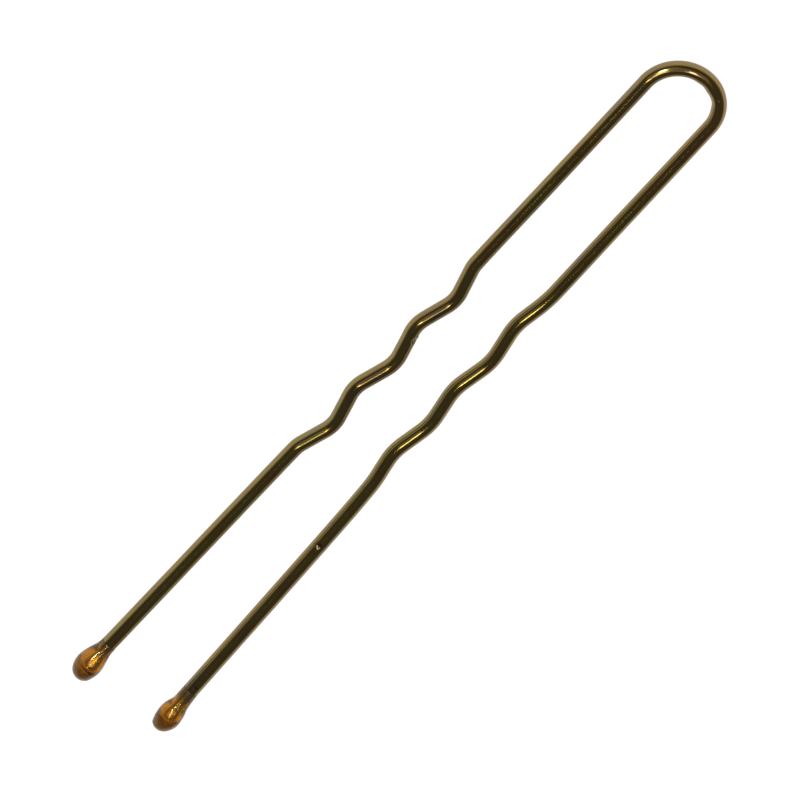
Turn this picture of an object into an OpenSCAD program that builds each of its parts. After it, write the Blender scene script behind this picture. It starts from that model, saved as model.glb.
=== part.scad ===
// U-shaped wire hairpin: one round wire bent over at the crown, three crimps
// pressed into each leg and a dipped lacquer bead on each cut end.
// Sizes are in millimetres and angles in degrees.
// The pin lies flat in the XY plane, crown towards +Y, tips towards -Y, +Z up.
// The origin is the centre of the crown bend, in the middle plane of the wire.
// The wire is one continuous piece on the real pin. It is cut here in the upper
// straight of each leg, where a leg springs, so that each leg can swing.

/* [Wire] */

// Diameter of the round wire, with its lacquer film
wire_diameter = 1.2; // [0.9:0.05:1.5]

// Length from the top of the crown to the end of the left bead
overall_length = 70; // [60:0.5:90]

// How much sooner the right leg ends than the left one
right_leg_shortfall = 0.25; // [0:0.05:3]

/* [Crown] */

// Distance between the two legs at the crown, centre to centre
leg_spacing = 6.1; // [5:0.05:9]

// Distance from the crown bend down to the spot where a leg springs
flex_drop = 11; // [6:0.5:15]

/* [Crimps] */

// Number of crimps on each leg
crimp_count = 3; // [1:1:4]

// Distance from one crimp to the next along the leg
crimp_pitch = 7; // [6.2:0.05:7.6]

// Bend radius of the left leg's crimps, at the middle of the wire
left_bend_radius = 2.8; // [1.5:0.1:3.6]

// Bend radius of the right leg's crimps, at the middle of the wire
right_bend_radius = 5; // [1.5:0.1:7]

// Radius of the gentler bends into and out of the right leg's crimps
right_lead_radius = 12; // [5:0.5:16]

// Straight length of the left leg above its first crimp
left_upper_straight = 19.7; // [17:0.05:24]

// Straight length of the right leg above its first crimp
right_upper_straight = 17.85; // [16.5:0.05:24]

// Angle of the left leg's crimp flanks to the run of the crimps
left_flank_angle = 16.5; // [10:0.5:20]

// Angle of the right leg's crimp flanks to the run of the crimps
right_flank_angle = 10.5; // [6:0.5:14]

/* [Lean of the legs] */

// Outward lean of the left leg's run of crimps
left_crimp_lean = 1.5; // [-1:0.1:3]

// Outward lean of the right leg's run of crimps
right_crimp_lean = -0.7; // [-1:0.1:3]

// Outward lean of the left leg below its crimps
left_lower_lean = 0.8; // [0:0.1:3]

// Outward lean of the right leg below its crimps
right_lower_lean = 1.6; // [0:0.1:3]

/* [Beads] */

// Largest diameter of the left bead
left_bead_diameter = 2.1; // [1.8:0.05:2.6]

// Length of the left bead
left_bead_length = 3.4; // [3:0.05:4]

// Largest diameter of the right bead
right_bead_diameter = 1.95; // [1.8:0.05:2.6]

// Length of the right bead
right_bead_length = 3.1; // [2.8:0.05:4]

// Distance from the end of a bead to its widest place
bead_crest = 1.4; // [1.2:0.05:1.6]

// Lacquer between the cut end of the wire and the end of its bead
bead_end_cover = 0.85; // [0.8:0.05:1.5]

// Radius of the hollow neck where a bead runs out onto the wire
bead_neck_radius = 2; // [1.8:0.1:4]

/* [Hidden] */

wire_radius = wire_diameter / 2;
crown_radius = leg_spacing / 2;

// rounded root of a leg in the cup at the end of the crown piece
seat_clearance = 0.02;
seat_setback = 0.25;

// pressing a crimp leaves the wire a trace thicker there, and the straights end
// just inside the bends
crimp_swell = 0.006;
bend_overlap = 0.04;

// a bead's edge on the wire is a narrow lip
bead_lip = 0.04;

left_end_y = crown_radius + wire_radius - overall_length;
right_end_y = left_end_y + right_leg_shortfall;

$fa = 5;
$fs = 0.08;

// A bend step is [straight length, turn, bend radius]. A pose is [x, y, heading],
// where the heading is measured outward from -Y. Both legs are worked out as right
// legs, so outward is +X, and the left one is mirrored when it is drawn.

function after_straight(p, length) = [
    p[0] + length * sin(p[2]),
    p[1] - length * cos(p[2]),
    p[2]
];

function after_turn(p, turn, radius) = [
    p[0] + sign(turn) * radius * (cos(p[2]) - cos(p[2] + turn)),
    p[1] + sign(turn) * radius * (sin(p[2]) - sin(p[2] + turn)),
    p[2] + turn
];

function after_step(p, step) = after_turn(after_straight(p, step[0]), step[1], step[2]);

function walk(p, steps, i = 0) =
    i == len(steps) ? p : walk(after_step(p, steps[i]), steps, i + 1);

// straight part of a flank, between two crimp bends
function flank(angle, radius) =
    (crimp_pitch / 2 - 2 * radius * sin(angle)) / cos(angle);

// what a gentler bend takes from the flank beside it
function lead_loss(turn, radius, lead_radius) =
    (lead_radius - radius) * tan(abs(turn) / 2);

// the bends of one leg, from the spot where it springs to the end of its crimps
function crimp_steps(straight, angle, radius, lead_radius, crimp_lean, lower_lean) =
    let (
        flank = flank(angle, radius),
        turn_in = crimp_lean - angle,
        turn_out = lower_lean - crimp_lean - angle,
        count = 2 * crimp_count - 1
    )
    concat(
        [[straight - flex_drop, turn_in, lead_radius]],
        [for (k = [1 : count])
            [flank - (k == 1 ? lead_loss(turn_in, radius, lead_radius) : 0),
                k % 2 == 1 ? 2 * angle : -2 * angle, radius]],
        [[flank - lead_loss(turn_out, radius, lead_radius), turn_out, lead_radius]]
    );

leg_start = [crown_radius, -flex_drop, 0];

left_steps = crimp_steps(left_upper_straight, left_flank_angle, left_bend_radius,
    left_bend_radius, left_crimp_lean, left_lower_lean);
right_steps = crimp_steps(right_upper_straight, right_flank_angle, right_bend_radius,
    right_lead_radius, right_crimp_lean, right_lower_lean);

left_crimps_end = walk(leg_start, left_steps);
right_crimps_end = walk(leg_start, right_steps);

// length from the last bend to the end of the bead
left_lower_length = (left_crimps_end[1] - left_end_y) / cos(left_lower_lean);
right_lower_length = (right_crimps_end[1] - right_end_y) / cos(right_lower_lean);

left_bead_end = after_straight(left_crimps_end, left_lower_length);
right_bead_end = after_straight(right_crimps_end, right_lower_length);

// straight wire from the origin along -Y, running on a little past both ends
module bar(length, before = 0, after = 0) {
    rotate([90, 0, 0])
        translate([0, 0, -before])
            cylinder(h = before + length + after, d = wire_diameter);
}

// bent wire from the origin, where it heads along -Y
module bend(turn, radius) {
    translate([sign(turn) * radius, 0, 0])
        rotate([0, 0, turn > 0 ? 180 : turn])
            rotate_extrude(angle = abs(turn))
                translate([radius, 0])
                    circle(d = wire_diameter + crimp_swell);
}

// moves what follows to the end of such a bend
module past_bend(turn, radius) {
    translate([sign(turn) * radius, 0, 0])
        rotate([0, 0, turn])
            translate([-sign(turn) * radius, 0, 0])
                children();
}

// the wire along a list of bend steps, then a last straight
module bent_wire(steps, last_straight, i = 0) {
    if (i == len(steps)) {
        bar(last_straight, bend_overlap, 0);
    } else {
        bar(steps[i][0], i == 0 ? 0 : bend_overlap, bend_overlap);
        translate([0, -steps[i][0], 0]) {
            bend(steps[i][1], steps[i][2]);
            past_bend(steps[i][1], steps[i][2])
                bent_wire(steps, last_straight, i + 1);
        }
    }
}

// rounded root of a leg, above the point where it swings
module leg_root() {
    rotate([-90, 0, 0])
        rotate_extrude()
            intersection() {
                circle(r = wire_radius);
                square(wire_radius);
            }
}

module leg(steps, lower_length) {
    translate([leg_start[0], leg_start[1], 0]) {
        leg_root();
        bent_wire(steps, lower_length - bead_end_cover);
    }
}

// quarter of an oval beside the bead's axis: up from the crest for a positive reach
module quarter_oval(diameter, reach) {
    size = abs(reach);
    translate([0, -bead_crest])
        intersection() {
            scale([1, 2 * size / diameter])
                circle(d = diameter);
            translate([0, min(2 * reach, 0)])
                square([diameter, 2 * size]);
        }
}

// half section of a bead: radius along X, the bead's nose towards +Y, its end at 0
module bead_section(diameter, length) {
    rim = wire_radius + bead_lip;
    // blunt end
    quarter_oval(diameter, bead_crest);
    // longer taper towards the wire
    quarter_oval(diameter, bead_crest - length);
    // hollow neck that runs out onto the wire
    difference() {
        translate([0, -length])
            square([diameter / 2, 0.22 * length]);
        translate([rim + bead_neck_radius, -length])
            circle(r = bead_neck_radius);
    }
}

// bead with the blind hole that the end of the wire fills
module bead(end, diameter, length) {
    translate([end[0], end[1], 0])
        rotate([0, 0, end[2]])
            rotate([90, 0, 0])
                rotate_extrude()
                    difference() {
                        bead_section(diameter, length);
                        translate([-wire_radius, -3 * length])
                            square([wire_diameter, 3 * length - bead_end_cover]);
                    }
}

// crown and the tops of both legs, with a cup at each end
module crown_bend() {
    color([0.33, 0.25, 0.13]) {
        rotate_extrude(angle = 180)
            translate([crown_radius, 0])
                circle(d = wire_diameter);
        for (side = [-1, 1])
            translate([side * crown_radius, 0, 0])
                difference() {
                    bar(flex_drop - seat_setback);
                    translate([0, -flex_drop, 0])
                        sphere(r = wire_radius + seat_clearance);
                }
    }
}

module left_leg() {
    color([0.33, 0.25, 0.13])
        mirror([1, 0, 0])
            leg(left_steps, left_lower_length);
}

module right_leg() {
    color([0.33, 0.25, 0.13])
        leg(right_steps, right_lower_length);
}

module left_bead() {
    color([0.72, 0.44, 0.1])
        mirror([1, 0, 0])
            bead(left_bead_end, left_bead_diameter, left_bead_length);
}

module right_bead() {
    color([0.72, 0.44, 0.1])
        bead(right_bead_end, right_bead_diameter, right_bead_length);
}

crown_bend();
left_leg();
right_leg();
left_bead();
right_bead();
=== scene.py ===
"""Looks of the waved hairpin: lacquered wire, amber beads, studio floor, light and camera."""

import math

import bmesh
import bpy
import numpy as np
from mathutils import Matrix, Vector, noise


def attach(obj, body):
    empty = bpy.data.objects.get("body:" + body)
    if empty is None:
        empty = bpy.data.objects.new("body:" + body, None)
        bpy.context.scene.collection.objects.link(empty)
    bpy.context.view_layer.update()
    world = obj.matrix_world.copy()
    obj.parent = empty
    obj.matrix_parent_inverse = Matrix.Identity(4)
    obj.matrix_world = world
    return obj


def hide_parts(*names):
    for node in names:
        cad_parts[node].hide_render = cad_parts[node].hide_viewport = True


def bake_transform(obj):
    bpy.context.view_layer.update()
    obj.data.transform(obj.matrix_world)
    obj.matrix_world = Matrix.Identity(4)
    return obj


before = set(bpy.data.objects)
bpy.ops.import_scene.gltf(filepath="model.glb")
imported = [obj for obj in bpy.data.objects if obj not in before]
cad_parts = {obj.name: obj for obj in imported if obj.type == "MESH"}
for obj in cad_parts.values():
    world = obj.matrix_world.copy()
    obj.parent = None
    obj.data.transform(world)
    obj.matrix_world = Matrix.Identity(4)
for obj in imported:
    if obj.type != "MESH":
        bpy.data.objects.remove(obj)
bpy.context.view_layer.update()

MM = 0.001

# Sizes in millimetres and angles in degrees.

# these are the same as in the CAD source
CROWN_RADIUS = 3.05
OVERALL = 70.0
RIGHT_SHORTFALL = 0.25
PITCH = 7.0
CRIMPS = 3
WIRE_RADIUS = 0.6
LEFT = dict(straight=19.7, flank=16.5, bend=2.8, lead=2.8, crimp_lean=1.5, lower_lean=0.8)
RIGHT = dict(straight=17.85, flank=10.5, bend=5.0, lead=12.0, crimp_lean=-0.7, lower_lean=1.6)
BEAD_COVER = 0.85
# these are the render's own
SEAM_Y = -3.0          # the crown's mesh meets the legs' meshes here
RING_STEP = 0.12       # rings of the wire's mesh, and sides of each
SIDES = 48
CUT_REACH = 0.9        # rings lie closer together over this length at a cut end
CUT_RINGS = 31


# The path of the wire.

def leg_steps(leg):
    """[straight, turn, radius] from the crown bend to the last bend, with turns in radians."""
    phi, lean, low = (math.radians(leg[k]) for k in ("flank", "crimp_lean", "lower_lean"))
    bend, lead = leg["bend"], leg["lead"]
    flank = (PITCH / 2 - 2 * bend * math.sin(phi)) / math.cos(phi)
    turn_in, turn_out = lean - phi, low - lean - phi
    steps = [[leg["straight"], turn_in, lead]]
    for k in range(1, 2 * CRIMPS):
        steps.append([flank, 2 * phi if k % 2 else -2 * phi, bend])
    steps.append([flank, turn_out, lead])
    # a gentler bend takes something from the flank beside it
    steps[1][0] -= (lead - bend) * math.tan(abs(turn_in) / 2)
    steps[-1][0] -= (lead - bend) * math.tan(abs(turn_out) / 2)
    return steps


def leg_path(leg, end_y):
    """Pieces of one leg, drawn as a right leg, and its arc length from the crown's top."""
    s, x, y, h = math.pi / 2 * CROWN_RADIUS, CROWN_RADIUS, 0.0, 0.0
    pieces = []
    for length, turn, radius in leg_steps(leg):
        pieces.append((s, x, y, h, length, 0.0))
        s, x, y = s + length, x + length * math.sin(h), y - length * math.cos(h)
        g = math.copysign(radius, turn)
        pieces.append((s, x, y, h, abs(turn) * radius, g))
        x += g * (math.cos(h) - math.cos(h + turn))
        y += g * (math.sin(h) - math.sin(h + turn))
        s, h = s + abs(turn) * radius, h + turn
    length = (y - end_y) / math.cos(h)
    pieces.append((s, x, y, h, length, 0.0))
    return pieces, s + length


def at(pieces, s):
    """x, y and heading at arc length s."""
    if s < math.pi / 2 * CROWN_RADIUS:
        a = s / CROWN_RADIUS
        return CROWN_RADIUS * math.sin(a), CROWN_RADIUS * math.cos(a), math.pi / 2 - a
    for piece in pieces:
        s0, x, y, h, length, g = piece
        if s <= s0 + length or piece is pieces[-1]:
            d = s - s0
            if not g:
                return x + d * math.sin(h), y - d * math.cos(h), h
            a = d / g
            return (x + g * (math.cos(h) - math.cos(h + a)),
                    y + g * (math.sin(h) - math.sin(h + a)), h + a)


LEFT_END_Y = CROWN_RADIUS + WIRE_RADIUS - OVERALL
RIGHT_END_Y = LEFT_END_Y + RIGHT_SHORTFALL
PATHS = {-1: leg_path(LEFT, LEFT_END_Y), 1: leg_path(RIGHT, RIGHT_END_Y)}
SEAM_S = math.pi / 2 * CROWN_RADIUS - SEAM_Y


# how far the wire strays from its ideal path, in mm, every 2.5 mm from the left tip to the right
STRAY_START, STRAY_STEP = -67.5, 2.5
STRAY = [
    0, -.005, -.012, -.02, -.03, -.038, -.046, -.05, -.052, -.042, -.028, .01, .03, .015, .035,
    -.01, -.04, -.045, -.055, -.04, -.022, -.013, -.004, .004, .006, .008, 0, 0, -.012, -.012,
    -.012, -.007, -.002, .003, 0, -.01, -.012, -.01, -.055, -.07, -.045, -.012, .01, .015, .045,
    0, -.045, -.055, -.054, -.05, -.043, -.033, -.022, -.01, 0,
]


def stray(s):
    """Smooth curve through STRAY."""
    t = min(max((s - STRAY_START) / STRAY_STEP, 0), len(STRAY) - 1.001)
    i, f = int(t), t - int(t)
    p0, p1, p2, p3 = (STRAY[min(max(k, 0), len(STRAY) - 1)] for k in (i - 1, i, i + 1, i + 2))
    return p1 + f / 2 * (p2 - p0 + f * (2 * p0 - 5 * p1 + 4 * p2 - p3
                                        + f * (3 * (p1 - p2) + p3 - p0)))


def centre(s):
    """Point and tangent at signed arc length s: left of the crown's top is negative."""
    side = -1 if s < 0 else 1
    x, y, h = at(PATHS[side][0], abs(s))
    # the tangent runs from the left tip to the right tip
    tangent = Vector((math.sin(h), -side * math.cos(h), 0))
    off = stray(s)
    return Vector((side * x + off * tangent.y, y - off * tangent.x, 0)), tangent


# radius of the lacquered wire: its least value, and what the lacquer adds towards the tips
THIN_RADIUS = 0.589
TIP_GAIN = 0.032
TIP_GAIN_FROM = 6
TIP_GAIN_RUN = 60
# what it adds at the crown's top, and how far from it
CROWN_GAIN = 0.016
CROWN_GAIN_REACH = 2.5
RIPPLE = 0.0035
RIPPLES_PER_MM = 0.35
# the end of the wire in each bead: what it gains in radius, and where from
END_SWELL = {-1: 0.16, 1: 0.13}
SWELL_FROM = 3.0
SWELL_RUN = 1.5
ROUND_FROM = 1.75
ROUND_REACH = 0.93
ROUND_MOST = 0.985


def wire_radius(s):
    """The lacquer ran down while it dried, so the wire is thicker towards the tips."""
    side = -1 if s < 0 else 1
    t = min(max((abs(s) - TIP_GAIN_FROM) / TIP_GAIN_RUN, 0), 1)
    base = THIN_RADIUS + TIP_GAIN * t + CROWN_GAIN * math.exp(-(s / CROWN_GAIN_REACH) ** 2)
    r = base + RIPPLE * noise.noise(Vector((RIPPLES_PER_MM * s, 3.7, 0.2)))
    # the end was upset a little before it was dipped, and is rounded
    d = PATHS[side][1] - abs(s)
    swell = min(max((SWELL_FROM - d) / SWELL_RUN, 0), 1)
    r += END_SWELL[side] * swell * swell * (3 - 2 * swell)
    if d < ROUND_FROM:
        r *= math.sqrt(1 - min((ROUND_FROM - d) / ROUND_REACH, ROUND_MOST) ** 2)
    return r


# Small flaws on the wire.

# where, reach and depth in mm (a negative depth stands proud)
FLAWS = [
    ((-2.66, -27.62, 0.43), 0.34, 0.11),    # nick on the inner side of the left leg
    ((-2.58, -27.20, 0.38), 0.22, -0.08),   # burr beside it
    ((2.79, -45.74, 0.56), 0.26, 0.07),     # pit on the right leg
    ((3.38, -61.22, 0.59), 0.16, 0.012),    # small pit near the right tip
    ((1.25, 2.66, 0.58), 0.14, 0.03),       # specks on the crown
    ((1.91, 2.46, 0.58), 0.16, 0.03),
]
# painted shade in the nick and the pits, which darkens the film's colour there: place in the
# wire's own coordinates, and size
PAINTED_PIT_SHADE = [
    ((0.326, 0.483, -32.68), 0.22),
    ((0.184, 0.56, 50.76), 0.24),
    ((0.015, 0.588, 66.25), 0.14),
]
# lacquer that gathered inside the crown: angle there in degrees, half-length and height in mm
GATHERED = [(68.0, 0.6, 0.05), (92.0, 0.55, 0.035), (44.0, 0.7, -0.05)]
UNEVEN = 0.0018
UNEVEN_PER_MM = 0.7


def shape_point(p, axis):
    """Moves a point of the wire's surface in or out where a flaw lies."""
    out = (p - axis).normalized()
    move = 0.0
    for where, reach, depth in FLAWS:
        d = (p - Vector(where)).length
        if d < reach:
            move -= depth * (1 - (d / reach) ** 2) ** 2
    if axis.y > 0:
        inward = out.dot(-axis.normalized())
        for angle, reach, height in GATHERED:
            a = math.radians(angle)
            d = (axis - CROWN_RADIUS * Vector((math.cos(a), math.sin(a), 0))).length / reach
            if d < 1.5 and inward > 0:
                move += height * inward * inward * math.exp(-2 * d * d)
    move += UNEVEN * noise.noise(p * UNEVEN_PER_MM)
    return p + out * move


# Mesh building.

def mesh_object(name, verts, faces, sharp=(), coords=None, material=None, depth=None):
    mesh = bpy.data.meshes.new(name)
    mesh.from_pydata([tuple(v * MM) for v in verts], [], faces)
    mesh.validate()
    mesh.polygons.foreach_set("use_smooth", [True] * len(mesh.polygons))
    if sharp:
        wanted = {tuple(sorted(e)) for e in sharp}
        attribute = mesh.attributes.get("sharp_edge") or mesh.attributes.new(
            "sharp_edge", "BOOLEAN", "EDGE")
        keys = [tuple(sorted(e.vertices)) in wanted for e in mesh.edges]
        attribute.data.foreach_set("value", keys)
    if coords is not None:
        attribute = mesh.attributes.new("wire_co", "FLOAT_VECTOR", "POINT")
        attribute.data.foreach_set("vector", np.array(coords, np.float32).ravel())
    if depth is not None:
        attribute = mesh.attributes.new("from_end", "FLOAT", "POINT")
        attribute.data.foreach_set("value", np.array(depth, np.float32))
    shell = bmesh.new()
    shell.from_mesh(mesh)
    bmesh.ops.recalc_face_normals(shell, faces=shell.faces)
    shell.to_mesh(mesh)
    shell.free()
    mesh.update()
    obj = bpy.data.objects.new(name, mesh)
    bpy.context.scene.collection.objects.link(obj)
    if material:
        mesh.materials.append(material)
    return obj


def tube(name, s_start, s_end, material, cut_start=False, cut_end=False):
    """Closed wire mesh between two signed arc lengths, with finer rings at a cut end."""
    count = max(2, round(abs(s_end - s_start) / RING_STEP) + 1)
    places = set(np.linspace(s_start, s_end, count))
    if cut_start:
        places |= set(np.linspace(s_start, s_start + CUT_REACH, CUT_RINGS))
    if cut_end:
        places |= set(np.linspace(s_end - CUT_REACH, s_end, CUT_RINGS))
    stations = [(float(s), wire_radius(float(s))) for s in sorted(places)]
    up = Vector((0, 0, 1))
    verts, coords, faces = [], [], []
    for s, r in stations:
        c, t = centre(s)
        n = t.cross(up)
        for k in range(SIDES):
            a = 2 * math.pi * k / SIDES
            p = c + r * (math.cos(a) * n + math.sin(a) * up)
            verts.append(shape_point(p, c))
            coords.append((r * math.cos(a), r * math.sin(a), s))
    rows = len(stations)
    for i in range(rows - 1):
        for k in range(SIDES):
            j = (k + 1) % SIDES
            a, b = i * SIDES, (i + 1) * SIDES
            faces.append((a + k, b + k, b + j, a + j))
    sharp = []
    for row, flip in ((0, True), (rows - 1, False)):
        s, r = stations[row]
        c, _ = centre(s)
        base = row * SIDES
        hub = len(verts)
        verts.append(c)
        coords.append((0, 0, s))
        for k in range(SIDES):
            j = (k + 1) % SIDES
            faces.append((hub, base + k, base + j) if flip else (hub, base + j, base + k))
            sharp.append((base + k, base + j))
    depth = [PATHS[-1 if c[2] < 0 else 1][1] - abs(c[2]) for c in coords]
    return mesh_object(name, verts, faces, sharp, coords, material, depth)


# Materials.

def node_material(name):
    material = bpy.data.materials.new(name)
    material.use_nodes = True
    tree = material.node_tree
    shader = tree.nodes["Principled BSDF"]
    return material, tree, shader


def add(tree, kind, inputs=None, **settings):
    made = tree.nodes.new(kind)
    for key, value in settings.items():
        setattr(made, key, value)
    for key, value in (inputs or {}).items():
        socket = next(k for k in made.inputs if k.enabled and k.name == key) if isinstance(
            key, str) else made.inputs[key]
        if isinstance(value, bpy.types.NodeSocket):
            tree.links.new(value, socket)
        else:
            socket.default_value = value
    return made


def ramp(tree, factor, stops):
    made = add(tree, "ShaderNodeValToRGB", {"Fac": factor})
    elements = made.color_ramp.elements
    while len(elements) > 1:
        elements.remove(elements[-1])
    elements[0].position, elements[0].color = stops[0][0], (*stops[0][1], 1)
    for position, colour in stops[1:]:
        elements.new(position).color = (*colour, 1)
    return made.outputs["Color"]


def wire_material():
    """Brown lacquer film over bright steel: gold metal under a clear coat, a little uneven."""
    material, tree, shader = node_material("lacquered_wire")
    here = add(tree, "ShaderNodeAttribute", attribute_name="wire_co").outputs["Vector"]
    long_way = add(tree, "ShaderNodeMapping", {"Vector": here, "Scale": (1.0, 1.0, 0.22)})
    broad = add(tree, "ShaderNodeTexNoise", {
        "Vector": long_way.outputs["Vector"], "Scale": 1.1, "Detail": 3.0, "Roughness": 0.55})
    tint = ramp(tree, broad.outputs["Fac"], [
        (0.30, (0.150, 0.110, 0.035)),
        (0.42, (0.215, 0.128, 0.016)),
        (0.52, (0.215, 0.148, 0.014)),
        (0.62, (0.195, 0.142, 0.020)),
        (0.74, (0.145, 0.122, 0.040)),
    ])
    fine = add(tree, "ShaderNodeTexNoise", {
        "Vector": here, "Scale": 9.0, "Detail": 3.0, "Roughness": 0.55})
    shade = add(tree, "ShaderNodeMapRange", {
        "Value": fine.outputs["Fac"], "From Min": 0.35, "From Max": 0.7,
        "To Min": 1.0492, "To Max": 1.342})
    colour = add(tree, "ShaderNodeVectorMath", {0: tint, "Scale": shade.outputs["Result"]},
                 operation="SCALE")
    # the film ran off the crown a little, so more of the steel shows there
    depth = add(tree, "ShaderNodeAttribute", attribute_name="from_end").outputs["Fac"]
    thin = add(tree, "ShaderNodeMapRange", {"Value": depth, "From Min": 57.0, "From Max": 65.0})
    paler = ramp(tree, thin.outputs["Result"], [
        (0.0, (0.82, 0.82, 0.82)),
        (1.0, (0.96, 0.85, 0.97)),
    ])
    colour = add(tree, "ShaderNodeVectorMath", {0: colour.outputs["Vector"], 1: paler},
                 operation="MULTIPLY")
    # painted shade: each spot darkens the colour over a pit or the nick
    for place, size in PAINTED_PIT_SHADE:
        near = add(tree, "ShaderNodeVectorMath", {0: here, 1: place}, operation="DISTANCE")
        dark = add(tree, "ShaderNodeMapRange", {
            "Value": near.outputs["Value"], "From Min": 0.5 * size, "From Max": size,
            "To Min": 0.12, "To Max": 1.0})
        colour = add(tree, "ShaderNodeVectorMath", {
            0: colour.outputs["Vector"], "Scale": dark.outputs["Result"]}, operation="SCALE")
    # inside a bead the steel is bare, and the bead gives the colour
    bare = add(tree, "ShaderNodeMapRange", {
        "Value": depth, "From Min": 3.6, "From Max": 2.9, "To Min": 0.0, "To Max": 1.0})
    colour = add(tree, "ShaderNodeMix", {
        "Factor": bare.outputs["Result"], "A": colour.outputs["Vector"],
        "B": (0.80, 0.55, 0.18, 1)}, data_type="RGBA")
    tree.links.new(next(k for k in colour.outputs if k.enabled), shader.inputs["Base Color"])
    rough = add(tree, "ShaderNodeMapRange", {
        "Value": broad.outputs["Fac"], "From Min": 0.3, "From Max": 0.75,
        "To Min": 0.095, "To Max": 0.14})
    rough = add(tree, "ShaderNodeMix", {
        "Factor": bare.outputs["Result"], "A": rough.outputs["Result"], "B": 0.18})
    tree.links.new(rough.outputs[0], shader.inputs["Roughness"])
    metal = add(tree, "ShaderNodeMapRange", {
        "Value": bare.outputs["Result"], "To Min": 1.0, "To Max": 0.9})
    tree.links.new(metal.outputs["Result"], shader.inputs["Metallic"])
    peel = add(tree, "ShaderNodeTexNoise", {
        "Vector": long_way.outputs["Vector"], "Scale": 0.9, "Detail": 0.0, "Roughness": 0.4})
    bump = add(tree, "ShaderNodeBump", {
        "Height": peel.outputs["Fac"], "Strength": 0.03, "Distance": 0.00003})
    tree.links.new(bump.outputs["Normal"], shader.inputs["Normal"])
    shader.inputs["Specular Tint"].default_value = (0.35, 0.30, 0.24, 1)
    film = add(tree, "ShaderNodeMapRange", {
        "Value": bare.outputs["Result"], "To Min": 1.0, "To Max": 0.0})
    tree.links.new(film.outputs["Result"], shader.inputs["Coat Weight"])
    shader.inputs["Coat Roughness"].default_value = 0.07
    shader.inputs["Coat IOR"].default_value = 1.5
    return material


def bead_material():
    """Amber lacquer: it colours light by the way that it goes through it. Near the end it is
    darker and browner, which is painted shade for the shadowed floor seen through the drop."""
    material, tree, shader = node_material("amber_lacquer")
    here = add(tree, "ShaderNodeAttribute", attribute_name="wire_co").outputs["Vector"]
    depth = add(tree, "ShaderNodeAttribute", attribute_name="from_end").outputs["Fac"]
    clouds = add(tree, "ShaderNodeTexNoise", {
        "Vector": here, "Scale": 1.3, "Detail": 2.0, "Roughness": 0.5})
    sway = add(tree, "ShaderNodeMath", {0: clouds.outputs["Fac"], 1: 1.6}, operation="MULTIPLY")
    sway = add(tree, "ShaderNodeMath", {0: sway.outputs[0], 1: 0.8}, operation="SUBTRACT")
    place = add(tree, "ShaderNodeMath", {0: sway.outputs[0], 1: depth}, operation="ADD")
    place = add(tree, "ShaderNodeMapRange", {
        "Value": place.outputs[0], "From Min": 0.0, "From Max": 4.0})
    # the brown and dark stops near the end are painted shade; the orange further along is the
    # lacquer's own colour
    tint = ramp(tree, place.outputs["Result"], [
        (0.00, (0.28, 0.21, 0.060)),
        (0.08, (0.25, 0.17, 0.045)),
        (0.14, (0.10, 0.050, 0.035)),
        (0.26, (0.13, 0.065, 0.040)),
        (0.36, (0.44, 0.23, 0.055)),
        (0.52, (0.60, 0.34, 0.060)),
        (0.80, (0.54, 0.32, 0.080)),
        (1.00, (0.45, 0.33, 0.18)),
    ])
    tree.links.new(tint, shader.inputs["Base Color"])
    fine = add(tree, "ShaderNodeTexNoise", {
        "Vector": here, "Scale": 6.0, "Detail": 3.0, "Roughness": 0.5})
    rough = add(tree, "ShaderNodeMapRange", {
        "Value": fine.outputs["Fac"], "From Min": 0.35, "From Max": 0.7,
        "To Min": 0.05, "To Max": 0.11})
    tree.links.new(rough.outputs["Result"], shader.inputs["Roughness"])
    bump = add(tree, "ShaderNodeBump", {
        "Height": clouds.outputs["Fac"], "Strength": 0.05, "Distance": 0.00004})
    tree.links.new(bump.outputs["Normal"], shader.inputs["Normal"])
    shader.inputs["Transmission Weight"].default_value = 0.93
    shader.inputs["Specular Tint"].default_value = (0.95, 0.82, 0.38, 1)
    shader.inputs["IOR"].default_value = 1.5
    absorb = tree.nodes.new("ShaderNodeVolumeAbsorption")
    absorb.inputs["Color"].default_value = (0.95, 0.78, 0.10, 1)
    absorb.inputs["Density"].default_value = 900.0
    tree.links.new(absorb.outputs["Volume"], tree.nodes["Material Output"].inputs["Volume"])
    return material


WIRE = wire_material()
AMBER = bead_material()


# The wire.

def leg_end_s(side):
    """Signed arc length of the cut end of the wire inside its bead."""
    return side * (PATHS[side][1] - BEAD_COVER)


crown = tube("wire_crown", -SEAM_S, SEAM_S, WIRE)
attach(crown, "crown")
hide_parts("crown_bend")

left = tube("wire_left_leg", leg_end_s(-1), -SEAM_S, WIRE, cut_start=True)
right = tube("wire_right_leg", SEAM_S, leg_end_s(1), WIRE, cut_end=True)
for piece, side, body, node in ((left, -1, "left_side", "left_leg"),
                                (right, 1, "right_side", "right_leg")):
    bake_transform(piece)
    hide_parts(node, "crown_bend")


# The beads.

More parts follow.
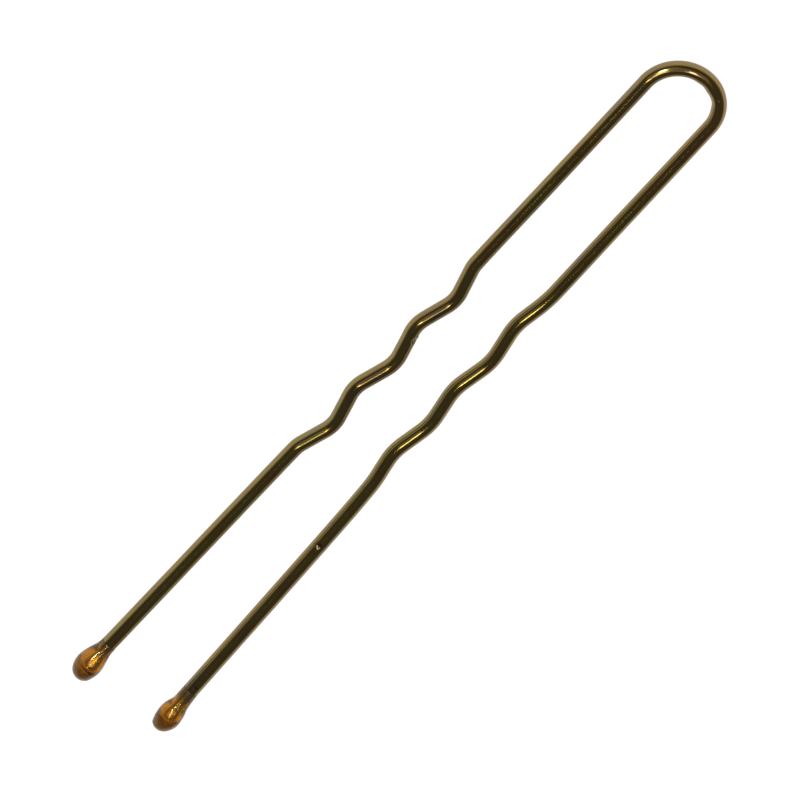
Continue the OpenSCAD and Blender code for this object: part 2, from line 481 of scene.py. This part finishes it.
# radius of each bead on its -X and +X sides, by distance from its end
LEFT_BEAD = [
    (0.00, 0.00, 0.00), (0.03, 0.26, 0.24), (0.12, 0.51, 0.46), (0.28, 0.71, 0.65),
    (0.45, 0.84, 0.77), (0.61, 0.92, 0.83), (0.77, 0.99, 0.88), (0.94, 1.04, 0.92),
    (1.10, 1.08, 0.95), (1.30, 1.10, 0.98), (1.50, 1.10, 0.99), (1.75, 1.08, 0.98),
    (1.95, 1.05, 0.95), (2.15, 1.01, 0.91), (2.40, 0.95, 0.84), (2.65, 0.87, 0.78),
    (2.85, 0.81, 0.73), (3.00, 0.75, 0.69), (3.20, 0.69, 0.66), (3.50, 0.65, 0.64),
    (3.90, 0.62, 0.62),
]
RIGHT_BEAD = [
    (0.00, 0.00, 0.00), (0.03, 0.28, 0.20), (0.12, 0.50, 0.40), (0.28, 0.69, 0.58),
    (0.45, 0.76, 0.73), (0.61, 0.80, 0.82), (0.77, 0.85, 0.90), (0.94, 0.89, 0.97),
    (1.10, 0.91, 1.01), (1.30, 0.93, 1.02), (1.50, 0.94, 1.02), (1.75, 0.94, 0.99),
    (1.95, 0.91, 0.96), (2.15, 0.87, 0.93), (2.40, 0.80, 0.86), (2.58, 0.72, 0.80),
    (2.73, 0.665, 0.76), (2.90, 0.64, 0.74), (3.10, 0.633, 0.70), (3.40, 0.628, 0.68),
    (3.90, 0.625, 0.65), (4.30, 0.62, 0.62),
]


BEAD_SIDES = 64
BEAD_ROWS = 96
# the thin edge closes just under the wire's surface: beyond the last row, and radius
BEAD_CLOSE = [(0.02, 0.58), (0.03, 0.45)]
# lumps: height, how many to a millimetre, and how they fade at the bead's end and its edge
LUMPS = 0.014
LUMPS_PER_MM = 0.8
LUMPS_IN = 0.4
LUMPS_OUT = 0.5
LUMPS_OUT_RUN = 1.4
# arc length at which a bead's own coordinates begin, so that its clouds differ from the wire's
BEAD_COORDINATE = 60


def smooth_profile(points, count=BEAD_ROWS):
    """Evenly shaped rows through a profile's points, close together at the end of the bead."""
    d, low, high = (np.array(c) for c in zip(*points))
    # the angle-like parameter keeps the round end round
    u = np.sqrt(d / d[-1])
    even = np.linspace(0, 1, count)
    rows = []
    for r in (low, high):
        fine = np.interp(even, u, r)
        for _ in range(3):
            fine[2:-1] = (fine[1:-2] + fine[2:-1] * 2 + fine[3:]) / 4
        rows.append(fine)
    return [(float(even[k] ** 2 * d[-1]), float(rows[0][k]), float(rows[1][k]))
            for k in range(count)]


def bead(name, side, points):
    """Closed drop of lacquer round the end of the wire, uneven from side to side. Its thin edge
    runs out on the wire."""
    tip, tangent = centre(side * PATHS[side][1])
    down = tangent * side
    across, up = Vector((-down.y, down.x, 0)), Vector((0, 0, 1))
    if across.x < 0:
        across = -across
    rows = smooth_profile(points)[1:]
    last = rows[-1][0]
    rows += [(last + beyond, r, r) for beyond, r in BEAD_CLOSE]
    seed = Vector((11.0 * side, 5.0, 2.0))
    verts, coords, faces = [tip.copy()], [(0, 0, side * BEAD_COORDINATE)], []
    for d, low, high in rows:
        free = min(1.0, max(0.0, (last - LUMPS_OUT - d) / LUMPS_OUT_RUN))
        for k in range(BEAD_SIDES):
            a = 2 * math.pi * k / BEAD_SIDES
            r = (low + high) / 2 + math.cos(a) * (high - low) / 2
            out = math.cos(a) * across + math.sin(a) * up
            r += LUMPS * free * min(1.0, d / LUMPS_IN) * noise.noise(
                (tip - down * d + r * out) * LUMPS_PER_MM + seed)
            verts.append(tip - down * d + r * out)
            coords.append((r * math.cos(a), r * math.sin(a), side * BEAD_COORDINATE + d))
    hub = len(verts)
    verts.append(tip - down * (last + BEAD_CLOSE[-1][0]))
    coords.append((0, 0, side * BEAD_COORDINATE + last))
    for k in range(BEAD_SIDES):
        j = (k + 1) % BEAD_SIDES
        faces.append((0, 1 + k, 1 + j))
        for i in range(len(rows) - 1):
            a, b = 1 + i * BEAD_SIDES, 1 + (i + 1) * BEAD_SIDES
            faces.append((a + k, b + k, b + j, a + j))
        end = 1 + (len(rows) - 1) * BEAD_SIDES
        faces.append((end + k, hub, end + j))
    depth = [c[2] - side * BEAD_COORDINATE for c in coords]
    return mesh_object(name, verts, faces, (), coords, AMBER, depth)


left_bead = bead("amber_bead_left", -1, LEFT_BEAD)
right_bead = bead("amber_bead_right", 1, RIGHT_BEAD)
for piece, body, node in ((left_bead, "left_side", "left_bead"),
                          (right_bead, "right_side", "right_bead")):
    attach(piece, body)
    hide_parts(node)


# Camera.

ROLL = math.radians(38.87)
TILT = math.radians(30)
DISTANCE = 1200.0
TARGET = Vector((-0.155, -32.38, 0))
FOCAL_PIXELS = 16117.2
PICTURE_PIXELS = 800.0
SENSOR = 36.0
RIGHTWARD = Vector((math.cos(ROLL), math.sin(ROLL), 0))
UPWARD = Vector((-math.sin(ROLL), math.cos(ROLL), 0))
Z = Vector((0, 0, 1))
BACK = Z * math.cos(TILT) + UPWARD * math.sin(TILT)
TOP = UPWARD * math.cos(TILT) - Z * math.sin(TILT)

camera_data = bpy.data.cameras.new("camera")
camera_data.sensor_width = SENSOR
camera_data.lens = FOCAL_PIXELS * SENSOR / PICTURE_PIXELS
camera_data.clip_start = 0.01
camera_data.clip_end = 20.0
camera = bpy.data.objects.new("camera", camera_data)
bpy.context.scene.collection.objects.link(camera)
place = (TARGET + BACK * DISTANCE) * MM
camera.matrix_world = Matrix((
    (RIGHTWARD.x, TOP.x, BACK.x, place.x),
    (RIGHTWARD.y, TOP.y, BACK.y, place.y),
    (RIGHTWARD.z, TOP.z, BACK.z, place.z),
    (0, 0, 0, 1),
))
bpy.context.scene.camera = camera


# Floor.

def floor_material():
    """White paper: rays from the camera and off shiny pieces see it near white, and it takes a
    faint shadow."""
    material, tree, shader = node_material("floor_white")
    path = add(tree, "ShaderNodeLightPath")
    seen = path.outputs["Is Camera Ray"]
    for kind in ("Is Glossy Ray", "Is Transmission Ray"):
        seen = add(tree, "ShaderNodeMath", {0: seen, 1: path.outputs[kind]},
                   operation="MAXIMUM").outputs[0]
    shader.inputs["Base Color"].default_value = (0.20, 0.20, 0.20, 1)
    shader.inputs["Roughness"].default_value = 1.0
    shader.inputs["Specular IOR Level"].default_value = 0.0
    shader.inputs["Emission Color"].default_value = (1, 1, 1, 1)
    glow = add(tree, "ShaderNodeMath", {0: seen, 1: 0.92}, operation="MULTIPLY")
    tree.links.new(glow.outputs[0], shader.inputs["Emission Strength"])
    return material


# the pin rests on the beads and on the crown, so the floor slopes a little along it
BEAD_RADIUS = 1.05
REST_LENGTH = 67.7
CROWN_REST_Y = 3.0
FLOOR_GAP = 0.004
FLOOR_REACH = 4000.0


def floor():
    """Plane that touches the crown and the beads from below."""
    slope = (BEAD_RADIUS - WIRE_RADIUS) / REST_LENGTH
    verts = []
    for x, y in ((-1, -1), (1, -1), (1, 1), (-1, 1)):
        px, py = x * FLOOR_REACH, y * FLOOR_REACH
        verts.append(Vector((px, py, -WIRE_RADIUS - FLOOR_GAP + (py - CROWN_REST_Y) * slope)))
    mesh_object("studio_floor", verts, [(0, 1, 2, 3)], material=floor_material())


floor()


# Light.

def direction(u, v, w):
    """A direction given by the picture's rightward, upward and vertical parts."""
    return (RIGHTWARD * u + UPWARD * v + Z * w).normalized()


LAMP_DISTANCE = 3.0


def softbox(name, u, v, turn, width, height, radiance, glossy=True, colour=(1, 1, 1)):
    """Area light, turned in the picture's plane by so many degrees. Its width and height are
    those it would have one metre away."""
    back = direction(u, v, math.sqrt(1 - u * u - v * v))
    side = RIGHTWARD * math.cos(math.radians(turn)) + UPWARD * math.sin(math.radians(turn))
    side = (side - back * side.dot(back)).normalized()
    top = back.cross(side)
    data = bpy.data.lights.new(name, "AREA")
    data.shape = "RECTANGLE"
    data.size, data.size_y = width * LAMP_DISTANCE, height * LAMP_DISTANCE
    data.energy = radiance * math.pi * data.size * data.size_y
    data.color = colour
    made = bpy.data.objects.new(name, data)
    place = TARGET * MM + back * LAMP_DISTANCE
    made.matrix_world = Matrix((
        (side.x, top.x, back.x, place.x),
        (side.y, top.y, back.y, place.y),
        (side.z, top.z, back.z, place.z),
        (0, 0, 0, 1),
    ))
    made.visible_glossy = glossy
    bpy.context.scene.collection.objects.link(made)


softbox("near_strip", -0.3197, -0.1064, 141, 0.20, 0.046, 11.0, colour=(1.0, 0.93, 0.45))
softbox("dim_strip", -0.1993, -0.2039, 141, 0.10, 0.042, 2.0, colour=(1.0, 0.93, 0.60))
softbox("left_box", -0.235, 0.10, 19, 0.18, 0.50, 3.5)
softbox("left_lamp", -0.29, 0.40, 19, 0.14, 0.26, 25.0)
softbox("right_box", 0.165, -0.085, -18, 0.08, 0.36, 7.0)
softbox("ceiling", -0.061, 0.263, 141, 1.40, 0.92, 0.30)
softbox("fill", -0.2, 0.25, 0, 1.4, 1.4, 0.5, glossy=False)

world = bpy.data.worlds.new("studio")
bpy.context.scene.world = world
world.use_nodes = True
tree = world.node_tree
background = tree.nodes["Background"]
path = add(tree, "ShaderNodeLightPath")
# the room is brighter near the floor than overhead
look = add(tree, "ShaderNodeSeparateXYZ", {
    "Vector": add(tree, "ShaderNodeTexCoord").outputs["Generated"]})
level = add(tree, "ShaderNodeMapRange", {
    "Value": look.outputs["Z"], "From Min": 0.0, "From Max": 0.50, "To Min": 1.0,
    "To Max": 0.12}, interpolation_type="SMOOTHSTEP")
level = add(tree, "ShaderNodeMath", {0: level.outputs["Result"],
                                     1: path.outputs["Is Camera Ray"]}, operation="MAXIMUM")
background.inputs["Color"].default_value = (1, 1, 1, 1)
tree.links.new(level.outputs[0], background.inputs["Strength"])

bpy.context.scene.view_settings.view_transform = "Standard"

bpy.context.view_layer.update()
